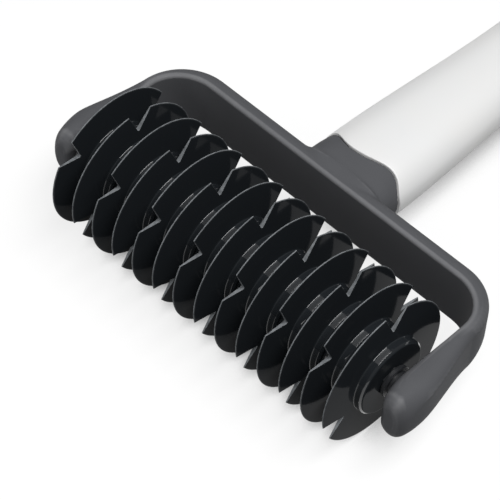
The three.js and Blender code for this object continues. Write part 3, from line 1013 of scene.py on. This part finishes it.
neck = [neck_ring(BAR_FRONT + BAR_THICKNESS / 2, 0, 0)]
for k in range(NECK_STEPS + 1):
    turn_here = math.pi / 2 * k / NECK_STEPS
    neck.append(neck_ring(BAR_BACK + NECK_FILLET * (1 - math.cos(turn_here)),
                          NECK_FILLET * (1 - math.sin(turn_here)), FILLET_SHARE * k))
for share in NECK_SHARES:
    neck.append(neck_ring(lambda angle: mix(BAR_BACK + NECK_FILLET, neck_mouth(angle), share),
                          0, share))
neck.append(neck_ring(neck_mouth, 0, 1))
neck.append(oval(neck_mouth, TANG_INSET))
neck.append(oval(INNER_START, TANG_INSET))
neck.append(oval(NECK_END, TANG_INSET))
tang_places = [mix(TANG_START, CAVITY_END - SEAM, k / TANG_STEPS) for k in range(TANG_STEPS + 1)]
tang = [oval(place, TANG_INSET) for place in tang_places]
neck_mesh = new_skin("neck", neck)
print("the neck has", len(neck_mesh.polygons), "faces")

# %% Melt strip and neck into one moulding
VOXEL = 0.35 * MM
SOCKET_RADIUS = 2.7
SOCKET_MOUTH = ARM_INNER - 1
SOCKET_END = ARM_INNER + SOCKET_DEPTH
RELAX_SHARE = 0.5
RELAX_ROUNDS = 6
bores = [turned_rings([(way * SOCKET_MOUTH, SOCKET_RADIUS), (way * SOCKET_END, SOCKET_RADIUS)])
         for way in (-1, 1)]
cutter = put_in_scene("socket_cutter", new_skin("sockets", *bores))
bored_strip = put_in_scene("bored_strip", strip_mesh)
drill = bored_strip.modifiers.new("sockets", "BOOLEAN")
drill.object = cutter
bored_mesh = plain_mesh(bored_strip)
bpy.data.objects.remove(cutter)

work = bmesh.new()
work.from_mesh(bored_mesh)
work.from_mesh(neck_mesh)
both = bpy.data.meshes.new("yoke")
work.to_mesh(both)
work.free()
moulding = put_in_scene("moulding", both)
melt = moulding.modifiers.new("melt", "REMESH")
melt.mode = "VOXEL"
melt.voxel_size = VOXEL
relax = moulding.modifiers.new("relax", "SMOOTH")
relax.factor = RELAX_SHARE
relax.iterations = RELAX_ROUNDS
yoke_mesh = plain_mesh(moulding)
print("the moulding has", len(yoke_mesh.polygons), "faces")

# %% [markdown]
# Wear and a painted highlight follow the edges, so the finish needs to know where they are. On the
# melted mesh an edge is where the normals of neighbouring points spread apart. The cell below measures
# that spread, evens it out over the neighbours and stores it on the mesh.

# %% Find the rounded edges of the yoke
EDGE_WEAR_AND_HIGHLIGHT_CURVE = 1 / (3.2 * MM)
EDGE_ROUNDS = 3


def store_edges(mesh, rounds):
    """Stores how strongly the surface bends outward, from 0 to 1, under the name edge."""
    total = len(mesh.vertices)
    spots = np.empty(total * 3)
    mesh.vertices.foreach_get("co", spots)
    spots = spots.reshape(-1, 3)
    normals = np.empty(total * 3)
    mesh.vertices.foreach_get("normal", normals)
    normals = normals.reshape(-1, 3)
    ends = np.empty(len(mesh.edges) * 2, int)
    mesh.edges.foreach_get("vertices", ends)
    ends = ends.reshape(-1, 2)
    reach = spots[ends[:, 1]] - spots[ends[:, 0]]
    spread = normals[ends[:, 1]] - normals[ends[:, 0]]
    curve = (reach * spread).sum(1) / (reach * reach).sum(1)
    around = np.bincount(ends.ravel(), minlength=total)
    value = np.zeros(total)
    for end in (0, 1):
        value += np.bincount(ends[:, end], curve, total)
    value /= around
    for _ in range(rounds):
        gathered = np.bincount(ends[:, 0], value[ends[:, 1]], total)
        gathered += np.bincount(ends[:, 1], value[ends[:, 0]], total)
        value = (value + gathered / around) / 2
    share = np.clip(value / EDGE_WEAR_AND_HIGHLIGHT_CURVE, 0, 1)
    edge = mesh.attributes.new("edge", "FLOAT", "POINT")
    edge.data.foreach_set("value", share.astype(np.float32))
    return share


edge_wear_and_highlight_share = store_edges(yoke_mesh, EDGE_ROUNDS)
print("edges: mean", round(float(edge_wear_and_highlight_share.mean()), 3), "highest", round(float(edge_wear_and_highlight_share.max()), 3))

# %% Put the yoke in its place
work = bmesh.new()
work.from_mesh(yoke_mesh)
skin(work, tang)
settled(yoke_mesh, work)
piece("yoke_moulding", yoke_mesh, grey_finish, "frame", "grey_frame", "yoke")

# %% [markdown]
# ## The handle
# The handle is a hollow shell pushed over the yoke's tang. Its skin starts deep inside, comes out
# over the waving mouth and closes round the tail. A hole for hanging it up goes through the tail,
# with a rounded lip: the cutter that makes the hole flares like a trumpet at both ends.

# %% Skin the handle
MOUTH_EDGE = 0.3
SKIN_INSET = 0.03
TAIL_TIP = (5.2 / TAIL_SIZE[0], 6.6 / TAIL_SIZE[1])
TAIL_START = TAIL_END - TAIL_ROUNDING
INNER_STEPS = 6
LIP_STEPS = 5
GRIP_STEPS = 40
TAIL_STEPS = 14


def lip(angle):
    return mouth_at(angle) + MOUTH_EDGE


inner_places = [mix(CAVITY_END, INNER_START, k / INNER_STEPS) for k in range(INNER_STEPS + 1)]
shell = [oval(place, SHELL_WALL) for place in inner_places]
shell.append(oval(mouth_at, SHELL_WALL))
for k in range(LIP_STEPS + 1):
    roll = math.pi / 2 * k / LIP_STEPS
    shell.append(oval(lambda angle: lip(angle) - MOUTH_EDGE * math.cos(roll),
                      SKIN_INSET + MOUTH_EDGE * (1 - math.sin(roll))))
for k in range(1, GRIP_STEPS + 1):
    shell.append(oval(lambda angle: mix(lip(angle), TAIL_START, k / GRIP_STEPS), SKIN_INSET))
for k in range(1, TAIL_STEPS + 1):
    roll = math.pi / 2 * k / TAIL_STEPS
    swell = [mix(tip, 1, math.cos(roll)) for tip in TAIL_TIP]
    shell.append(oval(TAIL_START + TAIL_ROUNDING * math.sin(roll), SKIN_INSET, swell))
shell_mesh = new_skin("handle_shell", shell)
print("the shell has", len(shell), "rings of", OVAL_SIDES)

# %% Cut the hole with the flared cutter
FLARE = 0.9
FLARE_START = 7.1
FLARE_STEPS = 6
CUTTER_END = FLARE_START + 4
HOLE_SIDES = 48
HOLE_Y = TAIL_END - HOLE_INSET


def ring_about_z(z, radius):
    angles = [2 * math.pi * k / HOLE_SIDES for k in range(HOLE_SIDES)]
    return [Vector((radius * math.cos(a), HOLE_Y + radius * math.sin(a), z)) * MM for a in angles]


bell = []
for k in range(FLARE_STEPS + 1):
    roll = math.pi / 2 * k / FLARE_STEPS
    bell.append((FLARE_START + FLARE * math.sin(roll), HOLE_RADIUS + FLARE * (1 - math.cos(roll))))
bell.append((CUTTER_END, HOLE_RADIUS + FLARE))
trumpet = [(-z, radius) for z, radius in reversed(bell)] + bell
hole_rings = [ring_about_z(z, radius) for z, radius in trumpet]
cutter = put_in_scene("hole_cutter", new_skin("hole", hole_rings))
handle_holder = put_in_scene("handle_holder", shell_mesh)
drill = handle_holder.modifiers.new("hang_hole", "BOOLEAN")
drill.object = cutter
handle_mesh = settled(plain_mesh(handle_holder))
bpy.data.objects.remove(cutter)
piece("handle_skin", handle_mesh, white_finish, "frame", "white_handle", "handle_shell")

# %% [markdown]
# ## Floor and light
# The tool lies on a pale table under one large softbox, which stands above it and to its right. Its
# reflection draws the bright patches on the hubs. A weak second lamp at the front left opens the
# shadows. The table is white to the eye, but it is lit no more than the tool: for rays that come from
# the camera, a mirror or a glass, a part of its white is a plain glow, and the rest still takes the
# shadow. The glow fades where the tool shuts the table in, as between discs and bar: that fading is
# a painted shade.

# %% A white table
GLOW = 0.80
TABLE_PALE = (0.21, 0.21, 0.21)
PAINTED_SHADE_REACH = 16 * MM
PAINTED_SHADE_RAMP = (0.20, 0.60)
SKY_SAMPLES = 16
TABLE_HALF = 4
TABLE_DROP = 0.0002
TABLE_CORNERS = ((-1, -1), (1, -1), (1, 1), (-1, 1))
table_mesh = bpy.data.meshes.new("table")
corners = [(x * TABLE_HALF, y * TABLE_HALF, -TABLE_DROP) for x, y in TABLE_CORNERS]
table_mesh.from_pydata(corners, [], [(0, 1, 2, 3)])
table, tree = finish_tree("white_table")
ray = Wire.node(tree, "ShaderNodeLightPath")
seen = ray.out("Is Camera Ray") + ray.out("Is Glossy Ray") + ray.out("Is Transmission Ray")
# Painted shade: ambient occlusion dims the glow where the tool shuts the table in.
sky = Wire.node(tree, "ShaderNodeAmbientOcclusion", {"samples": SKY_SAMPLES},
                {"Distance": PAINTED_SHADE_REACH}, output="AO")
glow_left_by_painted_shade = sky.ramp(*PAINTED_SHADE_RAMP)
close_finish(tree, {
    "Base Color": (*TABLE_PALE, 1),
    "Roughness": 1.0,
    "Specular IOR Level": 0.0,
    "Emission Color": seen.least(1.0) * glow_left_by_painted_shade * GLOW,
    "Emission Strength": 1.0,
})
table_mesh.materials.append(table)
floor = put_in_scene("table", table_mesh)
floor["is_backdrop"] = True
print("the table glows by a share of", GLOW)

# %% Lamps and the room's dim light


def softbox(name, place, aim, width, depth, power):
    lamp = bpy.data.lights.new(name, "AREA")
    lamp.shape = "RECTANGLE"
    lamp.size = width
    lamp.size_y = depth
    lamp.energy = power
    made = put_in_scene(name, lamp)
    made.location = place
    made.rotation_euler = (Vector(aim) - Vector(place)).to_track_quat("-Z", "Y").to_euler()


ROOM_GREY = 0.14
softbox("softbox", place=(0.28, -0.03, 0.80), aim=(0, -0.07, 0.02), width=0.68, depth=0.30, power=6.9)
softbox("fill", place=(-0.40, -0.54, 0.40), aim=(0, -0.03, 0.02), width=0.45, depth=0.45, power=1.3)
studio = bpy.data.worlds.new("studio")
bpy.context.scene.world = studio
studio.use_nodes = True
studio.node_tree.nodes.clear()
room = Wire.node(studio.node_tree, "ShaderNodeBackground", None,
                 {"Color": (1, 1, 1, 1), "Strength": ROOM_GREY})
Wire.node(studio.node_tree, "ShaderNodeOutputWorld", None, {"Surface": room})
bpy.context.scene.view_settings.view_transform = "Standard"
print("two lamps and a room at", ROOM_GREY)

# %% [markdown]
# ## Camera
# The camera was found from the photograph: notches of all the discs and the rims of nine were marked,
# and the place and lens were fitted until the drawn discs met the marks. It stands at the right
# front, well back with a long lens, and is rolled by not quite two degrees.

# %% The camera of the photograph
CAMERA_PLACE = Vector((0.26069, -0.32159, 0.51395))
CAMERA_AIM = Vector((-0.00761, -0.06706, 0.01038))
CAMERA_ROLL = math.radians(-1.822)
CAMERA_LENS = 174.2
SENSOR_WIDTH = 36
SEES_TO = 20
shot = bpy.data.cameras.new("camera")
shot.lens = CAMERA_LENS
shot.sensor_width = SENSOR_WIDTH
shot.clip_end = SEES_TO
camera = put_in_scene("camera", shot)
level = (CAMERA_AIM - CAMERA_PLACE).to_track_quat("-Z", "Y")
camera.rotation_mode = "QUATERNION"
camera.rotation_quaternion = level @ Quaternion((0, 0, 1), CAMERA_ROLL)
camera.location = CAMERA_PLACE
bpy.context.scene.camera = camera
print("the camera is", round((CAMERA_AIM - CAMERA_PLACE).length, 3), "m away")

# %% [markdown]
# ## Measure
# The dressed tool has to stay inside the box of the solids. Both boxes are written down.

# %% Write both boxes
low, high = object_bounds()
boxes = {"cad": [list(cad_low), list(cad_high)], "dressed": [list(low), list(high)]}
for label, (corner, far_corner) in boxes.items():
    print(label, [round(1000 * v, 2) for v in corner], [round(1000 * v, 2) for v in far_corner])
